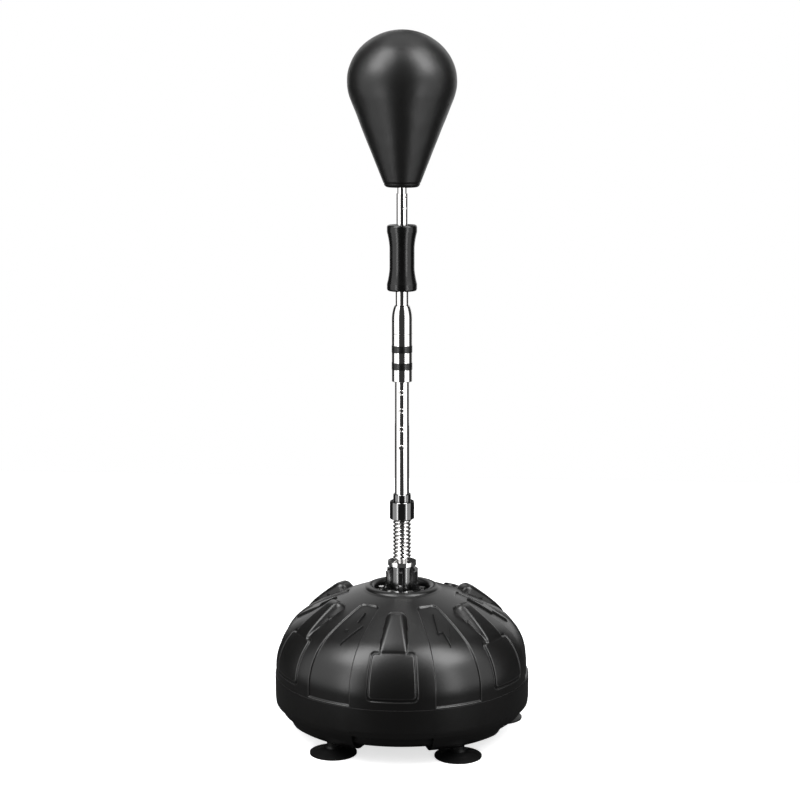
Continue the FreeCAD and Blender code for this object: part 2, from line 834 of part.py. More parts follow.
def make_lock_barrel():
    neck = clutch_radius + 0.4
    chamber = neck - 1.2
    outline = [
        (lower_radius + d.seat_gap, barrel_bottom),
        (barrel_radius - 1, barrel_bottom),
        (barrel_radius, barrel_bottom + 1),
    ]
    for number in range(2):
        low = band_bottom(number)
        outline += [
            (barrel_radius, low),
            (barrel_radius - d.band_depth, low),
            (barrel_radius - d.band_depth, low + d.band_height),
            (barrel_radius, low + d.band_height),
        ]
    outline += [
        (barrel_radius, barrel_top),
        (neck, barrel_top),
        (neck, barrel_top + neck_length),
        (chamber, barrel_top + neck_length),
        (chamber, lower_tube_top),
        (lower_radius + d.seat_gap, lower_tube_top),
    ]
    keep(turned_body("LockBarrel", outline), "lock_barrel")
    for number in range(2):
        low = band_bottom(number) + d.seat_gap
        inner = barrel_radius - d.band_depth + d.seat_gap
        high = low + d.band_height - d.seat_gap * 2
        ring = tube(f"BarrelBand{number}", barrel_radius + 0.1, inner, low, high)
        keep(ring, f"barrel_band_{number + 1}")

    grip = [
        (middle_radius + d.running_fit, lower_tube_top + d.seat_gap),
        (chamber - d.seat_gap, lower_tube_top + d.seat_gap),
        (chamber - d.seat_gap, barrel_top + neck_length),
        (middle_radius + 1.2, barrel_top + neck_length + 7),
        (middle_radius + d.running_fit, barrel_top + neck_length + 7),
    ]
    ring = turned_body("ColletRing", grip)
    slits = []
    for number in range(2):
        slit = doc.addObject("Part::Box", f"ColletSlit{number}")
        bind(slit, "Length", barrel_radius * 2)
        slit.Width = 1.6
        slit.Height = 60
        slit.Placement.Rotation = FreeCAD.Rotation(FreeCAD.Vector(0, 0, 1), 90.0 * number)
        if number:
            place(slit, 0.8, -barrel_radius, barrel_top - 4)
        else:
            place(slit, -barrel_radius, -0.8, barrel_top - 4)
        slits.append(slit)
    keep(cut("Collet", ring, slits), "lock_collet")


neck_length = 18.0


def make_lock_nut():
    bottom = barrel_top + d.free_gap
    top = barrel_top + d.nut_length
    chamber = clutch_radius + 0.4 + d.free_gap
    straight = barrel_top + d.nut_straight
    outline = [
        (chamber, bottom),
        (barrel_radius - 0.4, bottom),
        (barrel_radius, bottom + 0.4),
        (barrel_radius, straight),
        (nut_top_radius, top - 1, 60.0, -1),
        (nut_top_radius - 1, top),
        (middle_radius + d.free_gap, top),
        (middle_radius + d.free_gap, barrel_top + neck_length + 12),
        (chamber, barrel_top + neck_length + 8),
    ]
    keep(turned_body("LockNut", outline), "lock_nut")


# ---- middle mast ----


def button_spring(name, label, near, far, height, width, azimuth=0.0):
    # a V of spring strip with one leg behind the button and one on the far wall
    strip = 0.7
    bend = height - 30
    leg = height - 8
    outline = [
        (-near, height + 4),
        (-near, leg),
        (-1.2, bend),
        (1.2, bend),
        (far, leg),
        (far, height),
        (far - strip, height),
        (far - strip, leg),
        (0.7, bend + strip),
        (-0.7, bend + strip),
        (-near + strip, leg),
        (-near + strip, height + 4),
    ]
    body = doc.addObject("PartDesign::Body", name)
    rib(body, name + "Strip", "YZ_Plane", outline, width)
    body.Placement.Rotation = FreeCAD.Rotation(FreeCAD.Vector(0, 0, 1), azimuth)
    keep(body, label)


def make_middle_mast():
    wall = tube("MiddleTubeWall", middle_radius, middle_bore, middle_bottom, middle_top)
    start = middle_bore - 3
    hole = crossways("MiddleHole", d.hole_radius, start, middle_radius + 3, button_height)
    keep(cut("MiddleTube", wall, [hole]), "middle_tube")
    bush = [
        (6, middle_bottom - 10),
        (lower_bore - d.running_fit, middle_bottom - 10),
        (lower_bore - d.running_fit, middle_bottom),
        (middle_bore - d.seat_gap, middle_bottom),
        (middle_bore - d.seat_gap, middle_bottom + 6),
        (6, middle_bottom + 6),
    ]
    keep(turned_body("MiddleBush", bush), "middle_tube_bush")
    near = middle_bore - 3
    tip = lower_radius + d.button_proud
    button = crossways("HeightPin", d.hole_radius - d.running_fit, near, tip, button_height)
    keep(button, "height_button")
    button_spring(
        "HeightSpring", "height_button_spring", near - d.seat_gap, middle_bore - 1.2, button_height, 7
    )

    # clutch core: seated on the middle tube, with slit fingers round the top tube
    inner = middle_radius + d.seat_gap
    core = [
        (inner, grip_bottom + 5),
        (clutch_radius, grip_bottom + 5),
        (clutch_radius, grip_top - 14),
        (clutch_radius - 2, grip_top - 6),
        (top_radius + d.running_fit, grip_top - 6),
        (top_radius + d.running_fit, middle_top + d.seat_gap),
        (inner, middle_top + d.seat_gap),
    ]
    ring = turned_body("ClutchCore", core)
    slits = []
    for number in range(2):
        slit = doc.addObject("Part::Box", f"ClutchSlit{number}")
        bind(slit, "Length", grip_end_radius * 2)
        slit.Width = 1.6
        slit.Height = 60
        slit.Placement.Rotation = FreeCAD.Rotation(FreeCAD.Vector(0, 0, 1), 90.0 * number)
        if number:
            place(slit, 0.8, -grip_end_radius, grip_top - 40)
        else:
            place(slit, -grip_end_radius, -0.8, grip_top - 40)
        slits.append(slit)
    keep(cut("ClutchCoreSlit", ring, slits), "clutch_core")


def make_clutch_grip():
    end = grip_end_radius
    waist = grip_waist_radius
    middle = (grip_bottom + grip_top) / 2
    outline = [
        (middle_radius + d.free_gap, grip_bottom),
        (end - 4, grip_bottom),
        (end, grip_bottom + 4, 4.0, -1),
        (end, grip_bottom + 12),
        (waist, middle - 18, 140.0, 1),
        (waist, middle + 18),
        (end, grip_top - 12, 140.0, 1),
        (end, grip_top - 4),
        (end - 4, grip_top, 4.0, -1),
        (top_radius + d.free_gap, grip_top),
        (top_radius + d.free_gap, grip_top - 4),
        (grip_inside, grip_top - 4),
        (grip_inside, grip_bottom + 3),
        (middle_radius + d.free_gap, grip_bottom + 3),
    ]
    keep(turned_body("ClutchGrip", outline), "clutch_grip")
    sleeve = tube(
        "ClutchSleeve",
        grip_inside - d.seat_gap,
        clutch_radius + d.free_gap,
        grip_bottom + 5,
        grip_top - 5,
    )
    keep(sleeve, "clutch_sleeve")


# ---- top mast ----


def make_top_mast():
    wall = tube("TopTubeWall", top_radius, top_bore, top_bottom, top_top)
    holes = []
    for number in range(2):
        height = stem_hole_height + d.stem_hole_pitch * number
        start = top_bore - 3
        name = f"StemHole{number}"
        azimuth = dimensions["stem_azimuth"]
        holes.append(crossways(name, d.stem_hole_radius, start, top_radius + 3, height, azimuth))
    keep(cut("TopTube", wall, holes), "top_tube")
    bush = [
        (0, top_bottom - 8),
        (middle_bore - d.running_fit, top_bottom - 8),
        (middle_bore - d.running_fit, top_bottom),
        (top_bore - d.seat_gap, top_bottom),
        (top_bore - d.seat_gap, top_bottom + 8),
        (0, top_bottom + 8),
    ]
    keep(turned_body("TopBush", bush), "top_tube_bush")


# ---- ball ----


def ball_section(inset, floor):
    # right-hand edge of the ball from its floor up to the top, moved in by a wall
    side = d.ball_side_curve - inset
    centre = d.ball_radius - d.ball_side_curve
    cone_top = centre + side * math.cos(BALL_CONE_ANGLE)
    cone_height = ball_middle - side * math.sin(BALL_CONE_ANGLE)
    corner_height = ball_bottom + inset + d.ball_corner * (1 - math.sin(BALL_CONE_ANGLE))
    slope = math.tan(BALL_CONE_ANGLE)
    corner_radius = cone_top - (cone_height - corner_height) * slope
    floor_radius = corner_radius - d.ball_corner * math.cos(BALL_CONE_ANGLE)
    crown = side + centre / math.cos(BALL_TOP_ANGLE)
    return [
        (floor_radius, floor),
        (corner_radius, corner_height, d.ball_corner, -1),
        (cone_top, cone_height),
        (
            centre + side * math.cos(BALL_TOP_ANGLE),
            ball_middle + side * math.sin(BALL_TOP_ANGLE),
            side,
            -1,
        ),
        (0, ball_middle - centre * math.tan(BALL_TOP_ANGLE) + crown, crown, -1),
    ]


def ball_layer(name, label, outer_inset, thickness, hole):
    # one closed layer of the ball with a round hole in its floor
    inner_inset = outer_inset + thickness
    outer_floor = ball_bottom + outer_inset
    inner_floor = ball_bottom + inner_inset
    outer = ball_section(outer_inset, outer_floor)
    inner = ball_section(inner_inset, inner_floor)
    outline = [(hole, outer_floor)] + outer
    inner_points = [(hole, inner_floor)] + inner
    # walk back down the inside, so each arc's radius moves to the point it now leads to
    for index in range(len(inner_points) - 1, -1, -1):
        point = inner_points[index]
        if index + 1 < len(inner_points) and len(inner_points[index + 1]) == 4:
            after = inner_points[index + 1]
            outline.append((point[0], point[1], after[2], 1))
        else:
            outline.append((point[0], point[1]))
    body = turned_body(name, outline)
    valve_hole = cylinder(name + "ValveHole", valve_radius + d.seat_gap, ball_bottom - 1,
                          ball_bottom + 60, 0, valve_place)
    keep(cut(name + "Finished", body, [valve_hole]), label)


valve_radius = 3.0
valve_place = stem_radius + 8.5


def make_ball():
    socket_radius = stem_radius + 3
    lining = d.cover_thickness + d.padding_thickness + d.free_gap * 2
    ball_layer("BallCover", "ball_cover", as_size(0), d.cover_thickness, stem_radius + d.free_gap)
    hole = socket_radius + d.seat_gap
    ball_layer("BallPadding", "ball_padding", d.cover_thickness + d.free_gap, d.padding_thickness, hole)
    ball_layer("BallBladder", "ball_bladder", lining, d.bladder_thickness, hole)
    stem_bottom = top_top - d.stem_hole_drop - 28
    stem_top = stem_bottom + d.stem_length
    wall = tube("StemWall", stem_radius, stem_radius - 1.2, stem_bottom, stem_top)
    azimuth = dimensions["stem_azimuth"]
    hole = crossways("StemPinHole", d.stem_hole_radius, 4, top_radius + 3, stem_hole_height, azimuth)
    keep(cut("BallStem", wall, [hole]), "ball_stem")
    floor = ball_bottom + d.cover_thickness + d.seat_gap
    socket = tube("BallSocket", socket_radius, stem_radius + d.seat_gap, floor, stem_top - 3)
    cap = tube("SocketCap", socket_radius, 3, stem_top + d.seat_gap, stem_top + 3)
    sleeve = tube("SocketSleeve", socket_radius, stem_radius + d.seat_gap, stem_top - 4, stem_top + 1)
    keep(fused("SocketFinished", [socket, sleeve, cap]), "ball_socket")
    valve = cylinder("Valve", valve_radius, ball_bottom + 0.5, ball_bottom + lining + 14, 0, valve_place)
    keep(valve, "ball_valve")
    near = stem_radius - 4
    button = crossways("StemPin", d.stem_hole_radius - d.running_fit, near,
                       top_radius + d.button_proud, stem_hole_height, azimuth)
    keep(button, "ball_button")
    button_spring("StemSpring", "ball_button_spring", near - d.seat_gap, stem_radius - 2.4,
                  stem_hole_height, 5, azimuth)


make_tank()
make_fill_cap()
make_suction_cups()
make_hub()
make_hub_fasteners()
make_spring_seat()
make_reflex_spring()
make_collar()
make_lower_tube()
make_lock_barrel()
make_lock_nut()
make_middle_mast()
make_clutch_grip()
make_top_mast()
make_ball()
doc.recompute()

failed = [thing.Name for thing in doc.Objects if {"Invalid", "Error"} & set(thing.State)]
for part in parts:
    if part.Shape.isNull() or not part.Shape.isValid():
        failed.append(part.Label)
if failed:
    raise RuntimeError("failed: " + ", ".join(failed))

os.makedirs("parts", exist_ok=True)
for part in parts:
    part.Shape.exportStep(f"parts/{part.Label}.step")
    box = part.Shape.BoundBox
    print(f"{part.Label}: {len(part.Shape.Solids)} solid, {part.Shape.Volume:.0f} mm3, "
          f"z {box.ZMin:.1f} to {box.ZMax:.1f}, x {box.XMin:.1f} to {box.XMax:.1f}")
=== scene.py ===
import json
import math

import bmesh
import bpy
from mathutils import Matrix, Vector, noise


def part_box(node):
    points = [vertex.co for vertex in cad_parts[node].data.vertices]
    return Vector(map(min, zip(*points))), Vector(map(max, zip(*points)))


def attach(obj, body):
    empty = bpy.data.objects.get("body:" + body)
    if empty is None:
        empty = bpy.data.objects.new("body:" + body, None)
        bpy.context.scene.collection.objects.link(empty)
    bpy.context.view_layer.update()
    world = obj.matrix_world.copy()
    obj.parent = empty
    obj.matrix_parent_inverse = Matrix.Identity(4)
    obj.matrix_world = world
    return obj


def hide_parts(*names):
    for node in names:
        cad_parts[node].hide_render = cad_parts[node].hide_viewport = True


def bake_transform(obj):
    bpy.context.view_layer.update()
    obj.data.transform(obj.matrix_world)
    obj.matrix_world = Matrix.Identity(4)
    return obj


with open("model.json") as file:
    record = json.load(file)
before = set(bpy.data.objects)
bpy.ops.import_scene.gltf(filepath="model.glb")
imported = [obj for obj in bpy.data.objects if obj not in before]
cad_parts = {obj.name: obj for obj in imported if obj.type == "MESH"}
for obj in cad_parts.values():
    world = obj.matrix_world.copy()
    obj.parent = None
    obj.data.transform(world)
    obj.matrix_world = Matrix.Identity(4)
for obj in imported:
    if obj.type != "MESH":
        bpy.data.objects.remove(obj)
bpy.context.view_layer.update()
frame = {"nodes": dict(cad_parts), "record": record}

nodes = frame["nodes"]
mm = 0.001
weld = 0.00001       # metres; points of one made surface closer than this are one
cadWeld = 0.00002    # the same for a copied CAD mesh
print("frame loaded:", len(nodes), "nodes")

camera = {
    "away": 3.1,          # metres from the mast's axis
    "height": 1.1,
    "round": 4.3,         # degrees round towards +X
    "down": 9.34,         # degrees below level
    "lens": 81.3,
    "sensor": 36,
    "shiftX": -0.0025,
    "farthest": 60,
}


def makeCamera():
    data = bpy.data.cameras.new("standCamera")
    data.lens = camera["lens"]
    data.sensor_width = camera["sensor"]
    data.shift_x = camera["shiftX"]
    data.clip_end = camera["farthest"]
    lookout = bpy.data.objects.new("standCamera", data)
    turn = math.radians(camera["round"])
    lookout.location = (camera["away"] * math.sin(turn), -camera["away"] * math.cos(turn),
                        camera["height"])
    lookout.rotation_euler = (math.radians(90 - camera["down"]), 0, turn)
    bpy.context.scene.collection.objects.link(lookout)
    bpy.context.scene.camera = lookout


makeCamera()


class Wire:
    # a material's socket, wrapped so that sums of sockets read as sums
    def __init__(self, tree, socket):
        self.tree = tree
        self.socket = socket

    def joined(self, operation, first, second):
        sumNode = self.tree.nodes.new("ShaderNodeMath")
        sumNode.operation = operation
        for slot, value in zip(sumNode.inputs, (first, second)):
            feed(self.tree, slot, value)
        return Wire(self.tree, sumNode.outputs[0])

    def __add__(self, other):
        return self.joined("ADD", self, other)

    def __radd__(self, other):
        return self.joined("ADD", other, self)

    def __rsub__(self, other):
        return self.joined("SUBTRACT", other, self)

    def __mul__(self, other):
        return self.joined("MULTIPLY", self, other)


def feed(tree, slot, value):
    if isinstance(value, Wire):
        tree.links.new(value.socket, slot)
    else:
        slot.default_value = value


class Finish:
    # one material; Object coordinates are in metres
    def __init__(self, name, **fixed):
        self.material = bpy.data.materials.new(name)
        self.material.use_nodes = True
        self.tree = self.material.node_tree
        self.shader = self.tree.nodes["Principled BSDF"]
        for slot, value in fixed.items():
            self.shader.inputs[slotNames[slot]].default_value = value
        self.place = self.add("ShaderNodeTexCoord", out="Object")

    def add(self, kind, settings=None, sockets=None, out=0):
        made = self.tree.nodes.new(kind)
        for key, value in (settings or {}).items():
            if key == "stops":
                for stop, (at, shade) in zip(made.color_ramp.elements, value):
                    stop.position = at
                    stop.color = (shade, shade, shade, 1)
            else:
                setattr(made, key, value)
        for key, value in (sockets or {}).items():
            feed(self.tree, made.inputs[key], value)
        return Wire(self.tree, made.outputs[out])

    def grain(self, scale, detail=3.0, roughness=0.55, place=None, out="Fac"):
        return self.add("ShaderNodeTexNoise", None, {"Vector": place or self.place, "Scale": scale,
                        "Detail": detail, "Roughness": roughness}, out)

    def stretched(self, x, y, z):
        return self.add("ShaderNodeMapping", None, {"Vector": self.place, "Scale": (x, y, z)})

    def ramp(self, value, low, high, dark=0.0, light=1.0):
        return self.add("ShaderNodeMapRange", {"clamp": True}, {"Value": value, "From Min": low,
                        "From Max": high, "To Min": dark, "To Max": light})

    def tint(self, mask, first, second):
        return self.add("ShaderNodeMix", {"data_type": "RGBA"}, {0: mask, 6: first, 7: second}, 2)

    def bump(self, height, distance, strength=1.0, under=None):
        sockets = {"Height": height, "Distance": distance, "Strength": strength}
        if under:
            sockets["Normal"] = under
        return self.add("ShaderNodeBump", None, sockets)

    def set(self, slot, value):
        feed(self.tree, self.shader.inputs[slotNames[slot]], value)


slotNames = {
    "color": "Base Color", "roughness": "Roughness", "metallic": "Metallic", "normal": "Normal",
    "specular": "Specular IOR Level", "index": "IOR",
}


def shade(level, warmth=0.0):
    return (level * (1 + warmth), level, level * (1 - warmth), 1)


tankLook = {
    "dark": 0.0025, "light": 0.0045, "smooth": 0.27, "rough": 0.37, "pebble": 0.00003,
    # on the next line, the last three keys set how convex edges are painted lighter: painted highlight
    # with some wear
    "specular": 0.5, "edgeWearAndHighlightFrom": 0.515, "edgeWearAndHighlightTo": 0.56, "edgeWearAndHighlight": 0.09,
}


def tankPlastic(name, withEdgeWearAndHighlight):
    look = Finish(name, specular=tankLook["specular"])
    cloud = look.grain(9, 4)
    pebble = look.grain(1500, 2)
    flow = look.grain(55, 3)
    scuff = look.ramp(look.grain(330, 5, 0.7, look.stretched(1, 0.16, 0.5)), 0.62, 0.75)
    plain = look.tint(cloud, shade(tankLook["dark"], 0.03), shade(tankLook["light"], 0.03))
    if withEdgeWearAndHighlight:
        # moulded edges painted lighter by pointiness: a painted highlight along the edges, with some
        # rubbed wear
        pointed = look.add("ShaderNodeNewGeometry", out="Pointiness")
        edgeWearAndHighlight = look.ramp(pointed, tankLook["edgeWearAndHighlightFrom"], tankLook["edgeWearAndHighlightTo"]) * (0.55 + flow * 0.45)
        plain = look.tint(edgeWearAndHighlight, plain, shade(tankLook["edgeWearAndHighlight"]))
    look.set("color", plain)
    span = tankLook["rough"] - tankLook["smooth"]
    look.set("roughness", tankLook["smooth"] + cloud * span * 0.7 + flow * span * 0.3 + scuff * 0.08)
    under = look.bump(flow, 0.0003, 0.2)
    look.set("normal", look.bump(pebble, tankLook["pebble"], 0.6, under))
    return look.material


def mouldedPlastic(name, dark, smooth, rough, pebble=0.00002, index=1.5):
    look = Finish(name, index=index)
    cloud = look.grain(40, 4)
    fine = look.grain(1900, 2)
    streak = look.ramp(look.grain(500, 4, 0.65, look.stretched(1, 1, 0.12)), 0.58, 0.78)
    look.set("color", look.tint(cloud, shade(dark * 0.8), shade(dark * 1.35)))
    look.set("roughness", smooth + cloud * (rough - smooth) + streak * 0.06)
    look.set("normal", look.bump(fine, pebble, 0.5))
    return look.material


def rubber(name, dark, rough=0.55, dusty=0.5):
    look = Finish(name, specular=0.42)
    cloud = look.grain(70, 4)
    dust = look.ramp(look.grain(260, 6, 0.7), 0.5, 0.8) * dusty
    look.set("color", look.tint(dust, shade(dark), shade(dark * 3 + 0.012, 0.05)))
    look.set("roughness", rough + cloud * 0.18)
    look.set("normal", look.bump(look.grain(900, 3), 0.00012, 0.5))
    return look.material


def bareSteel(name, level, smooth, rough, stretch=(1, 1, 1), scratch=0.00002):
    look = Finish(name, metallic=1.0)
    lines = look.grain(700, 5, 0.7, look.stretched(*stretch))
    cloud = look.grain(60, 4)
    look.set("color", look.tint(cloud, shade(level * 0.93, 0.01), shade(level, 0.01)))
    look.set("roughness", smooth + lines * (rough - smooth) * 0.6 + cloud * (rough - smooth) * 0.4)
    look.set("normal", look.bump(lines, scratch, 0.5))
    return look.material


leatherLook = {
    "dark": 0.0015, "light": 0.003, "smooth": 0.3, "rough": 0.39, "cells": 620, "depth": 0.00006,
}


def ballLeather():
    look = Finish("ballLeather", specular=0.5)
    cells = look.add("ShaderNodeTexVoronoi", {"feature": "DISTANCE_TO_EDGE"},
                     {"Vector": look.place, "Scale": leatherLook["cells"], "Randomness": 1.0}, "Distance")
    crease = look.ramp(cells, 0.0, 0.22)
    broad = look.grain(22, 4)
    pores = look.grain(2600, 2)
    look.set("color", look.tint(crease * 0.7 + broad * 0.3, shade(leatherLook["dark"], 0.02),
                                shade(leatherLook["light"], 0.02)))
    span = leatherLook["rough"] - leatherLook["smooth"]
    look.set("roughness", leatherLook["rough"] - crease * span * 0.6 + broad * span * 0.4)
    under = look.bump(broad, 0.0015, 0.12)
    creased = look.bump(crease, leatherLook["depth"], 0.55, under)
    look.set("normal", look.bump(pores, 0.000015, 0.4, creased))
    return look.material


def foam(name, level):
    look = Finish(name, specular=0.2)
    cells = look.grain(1400, 4, 0.7)
    look.set("color", look.tint(cells, shade(level * 0.6), shade(level)))
    look.set("roughness", 0.85 + cells * 0.1)
    look.set("normal", look.bump(cells, 0.0003, 0.8))
    return look.material


finishes = {
    "tank_plastic": tankPlastic("tankPlastic", False),
    "cap_plastic": mouldedPlastic("capPlastic", dark=0.003, smooth=0.3, rough=0.42, pebble=0.00003),
    "rubber_black": rubber("cupRubber", dark=0.0015, rough=0.4, dusty=0.08),
    "hub_gloss": mouldedPlastic("hubGloss", dark=0.003, smooth=0.14, rough=0.22, pebble=0.00001,
                                index=2.2),
    "collar_gloss": mouldedPlastic("collarGloss", dark=0.0015, smooth=0.06, rough=0.11,
                                   pebble=0.000004, index=2.5),
    "band_black": mouldedPlastic("bandBlack", dark=0.003, smooth=0.24, rough=0.34, pebble=0.00001),
    "inner_plastic": mouldedPlastic("innerPlastic", dark=0.03, smooth=0.4, rough=0.6),
    "grip_black": mouldedPlastic("gripBlack", dark=0.0015, smooth=0.2, rough=0.27, pebble=0.000003),
    "bright_steel": bareSteel("brightSteel", level=0.85, smooth=0.12, rough=0.26),
    "plain_steel": bareSteel("plainSteel", level=0.55, smooth=0.25, rough=0.42),
    "insert_brass": bareSteel("insertBrass", level=0.6, smooth=0.25, rough=0.4),
    "chrome_plate": bareSteel("chromePlate", level=0.93, smooth=0.03, rough=0.09,
                              stretch=(1, 1, 0.05), scratch=0.000004),
    "chrome_alloy": bareSteel("chromeAlloy", level=0.93, smooth=0.04, rough=0.1,
                              stretch=(1, 1, 0.1), scratch=0.000005),
    "ball_leather": ballLeather(),
    "ball_foam": foam("ballFoam", level=0.2),
    "bladder_rubber": rubber("bladderRubber", dark=0.03, rough=0.5, dusty=0.1),
}
# this finish paints the convex edges lighter: a painted highlight along them, with some wear
edgeWearAndHighlightPlastic = tankPlastic("edgeWearAndHighlightPlastic", True)
# near-black matte finish for the bolts' steep sides: painted shade
boltSidePaintedShade = rubber("boltSidePaintedShade", dark=0.001, rough=0.75, dusty=0.0)
print("materials:", len(finishes) + 2)

# each CAD node takes the finish of its own slot
for part in frame["record"]["subparts"]:
    nodeName = part["node"]
    if nodeName in nodes:
        mesh = nodes[nodeName].data
        mesh.materials.clear()
        mesh.materials.append(finishes[part["material_slot"]])
print("nodes painted")


def polar(radius, azimuth, height):
    # azimuth 0 is the front, -Y, and grows towards +X
    return Vector((radius * math.sin(azimuth), -radius * math.cos(azimuth), height))


def soften(value, start, end):
    t = min(max((value - start) / (end - start), 0.0), 1.0)
    return t * t * (3 - 2 * t)


def arc(centre, radius, first, last, count):
    # points on an arc in (radius, height); angles from level, in degrees
    points = []
    for index in range(count + 1):
        angle = math.radians(first + (last - first) * index / count)
        points.append((centre[0] + radius * math.cos(angle), centre[1] + radius * math.sin(angle)))
    return points


def chain(bm, outline):
    # a profile in the XZ plane from (radius, height) pairs in millimetres
    verts = [bm.verts.new((r * mm, 0, z * mm)) for r, z in outline]
    edges = [bm.edges.new(pair) for pair in zip(verts, verts[1:])]
    return verts, edges


def spun(bm, verts, edges, steps):
    bmesh.ops.spin(bm, geom=verts + edges, cent=(0, 0, 0), axis=(0, 0, 1), dvec=(0, 0, 0),
                   angle=math.tau, steps=steps, use_merge=True, use_duplicate=False)


def finished(bm, name, body, slot, smooth=35, outward=True):
    if outward:
        bmesh.ops.recalc_face_normals(bm, faces=bm.faces)
    mesh = bpy.data.meshes.new(name)
    bm.to_mesh(mesh)
    bm.free()
    mesh.polygons.foreach_set("use_smooth", [True] * len(mesh.polygons))
    mesh.set_sharp_from_angle(angle=math.radians(smooth))
    mesh.materials.append(finishes[slot])
    piece = bpy.data.objects.new(name, mesh)
    bpy.context.scene.collection.objects.link(piece)
    if body:
        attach(piece, body)
    return piece


tank = {
    "upperRadius": 223.8, "seam": 103.0,
    "shoulder": (123.8, 120.5), "shoulderCurve": 100.0, "crownStart": 59.0, "crownCurve": 480.0,
    "rimRadius": 66.0, "recessRadius": 49.0, "rimTop": 256.4, "rimCurve": 10.0, "rimRows": 14,
    "floor": 243.5,
    # (radius, height above the recess floor)
    "recess": [(30, 0), (46.5, 0), (48.3, 0.6), (49.0, 2.2), (49.0, 7)],
    "hollow": (67.2, 68.6, 70.2), "hollowRise": 0.9, "hollowSpan": 4.2, "crownEdge": 71.5,
    # heights of the wall's rows, close together where the panels and the wedges end
    "wallRows": (119.3, 118.6, 118.0, 117.4, 116.8, 116.2, 115.4, 112, 108.5, 107.2, 106.6, 106.1,
                 105.6, 105.1, 104.6, 103.6),
    "reliefStart": 72, "topRing": 240, "footRing": 103.5,
    "columns": 600, "crownRows": 69, "shoulderRows": 53,
    "wedgeHalf": 11.0, "wedgeDepth": 2.8, "wedgeInner": 95.0, "wedgeChamfer": 6.0,
    "wedgeFoot": 2.6, "wedgeEase": (-0.3, 1.5),
    "panelHalf": 11.3, "panelRise": -1.7, "panelTop": 195.0, "panelTopRadius": 192.0,
    "panelFoot": 117.5, "panelCorner": 9.0, "panelEase": (-0.9, 1.1),
    "pillowIn": 4.2, "pillowRise": 2.5, "pillowEase": 1.0,
    "hoodInner": 115.0, "hoodCrest": 125.0, "hoodOuter": 194.0, "hoodHalf": 23.0, "hoodTaper": 5.5,
    "hoodRise": 15.5, "hoodLip": 1.3, "hoodRound": 0.7, "hoodFillet": 0.75, "hoodCorner": 10,
    "hoodBack": 2, "hoodCurve": 0.9, "lipShare": 0.06,
    # (degrees from a rib's middle, share of columns there)
    "crowding": [(0, 0.8), (3, 0.8), (4, 1.4), (9, 1.4), (10.4, 3), (12, 3), (13, 0.6), (17.6, 0.6),
                 (18.4, 3.5), (19.7, 3.5), (20.6, 0.5), (30, 0.5)],
    "crowdSteps": 40,
}
ribs = 6
sector = math.radians(60)
crownTop = (tank["shoulder"][0] + tank["shoulderCurve"] * math.cos(math.radians(tank["crownStart"])),
            tank["shoulder"][1] + tank["shoulderCurve"] * math.sin(math.radians(tank["crownStart"])))
crownCentre = (crownTop[0] - tank["crownCurve"] * math.cos(math.radians(tank["crownStart"])),
               crownTop[1] - tank["crownCurve"] * math.sin(math.radians(tank["crownStart"])))


def domeHeight(radius):
    return crownCentre[1] + math.sqrt(tank["crownCurve"] ** 2 - (radius - crownCentre[0]) ** 2)


def plainHeight(radius):
    # the crown, and the shoulder outside it
    if radius > crownTop[0]:
        out = radius - tank["shoulder"][0]
        return tank["shoulder"][1] + math.sqrt(tank["shoulderCurve"] ** 2 - out ** 2)
    return domeHeight(radius)


def tankOutline():
    # from the recess floor over the rim and down the dome to the seam
    inner = tank["recessRadius"]
    points = [(radius, tank["floor"] + up) for radius, up in tank["recess"]]
    foot = domeHeight(tank["rimRadius"])
    middle = ((inner + tank["rimRadius"]) / 2, (tank["rimTop"] + foot) / 2)
    half = math.hypot(tank["rimRadius"] - inner, foot - tank["rimTop"]) / 2
    lean = math.atan2(foot - tank["rimTop"], tank["rimRadius"] - inner)
    drop = math.sqrt(tank["rimCurve"] ** 2 - half ** 2)
    centre = (middle[0] + drop * math.sin(lean), middle[1] - drop * math.cos(lean))
    start = math.degrees(math.atan2(tank["rimTop"] - centre[1], inner - centre[0]))
    end = math.degrees(math.atan2(foot - centre[1], tank["rimRadius"] - centre[0]))
    points += arc(centre, tank["rimCurve"], start, end + 4, tank["rimRows"])
    # a small hollow where the rim meets the dome, then the crown
    for radius in tank["hollow"]:
        rise = tank["hollowRise"] * (tank["hollow"][-1] - radius) / tank["hollowSpan"]
        points.append((radius, domeHeight(radius) + rise))
    first = math.degrees(math.acos((tank["crownEdge"] - crownCentre[0]) / tank["crownCurve"]))
    points += arc(crownCentre, tank["crownCurve"], first, tank["crownStart"], tank["crownRows"])
    points += arc(tank["shoulder"], tank["shoulderCurve"], tank["crownStart"], 0,
                  tank["shoulderRows"])[1:]
    points += [(tank["upperRadius"], height) for height in tank["wallRows"] + (tank["seam"],)]
    return points


def downslope(radius, height):
    # distance down the dome's line from the crown's start at the rim, in millimetres
    if height >= crownTop[1]:
        lean = math.asin(min((radius - crownCentre[0]) / tank["crownCurve"], 1))
        return tank["crownCurve"] * (lean - math.radians(90 - tank["crownStart"]))
    if height >= tank["shoulder"][1]:
        turn = math.atan2(radius - tank["shoulder"][0], height - tank["shoulder"][1])
        return tank["shoulderCurve"] * (turn - math.radians(90 - tank["crownStart"]))
    return tank["shoulderCurve"] * math.radians(tank["crownStart"]) + tank["shoulder"][1] - height


wedgeTopLine = downslope(tank["wedgeInner"], domeHeight(tank["wedgeInner"]))
panelTopLine = downslope(tank["panelTopRadius"], tank["panelTop"])
panelFootLine = downslope(tank["upperRadius"], tank["panelFoot"])
seamLine = downslope(tank["upperRadius"], tank["seam"])


def inward(first, second, corner):
    # distance in from the edge of a shape with rounded corners
    a, b = max(corner - first, 0.0), max(corner - second, 0.0)
    if a > 0 and b > 0:
        return corner - math.hypot(a, b)
    return min(first, second)


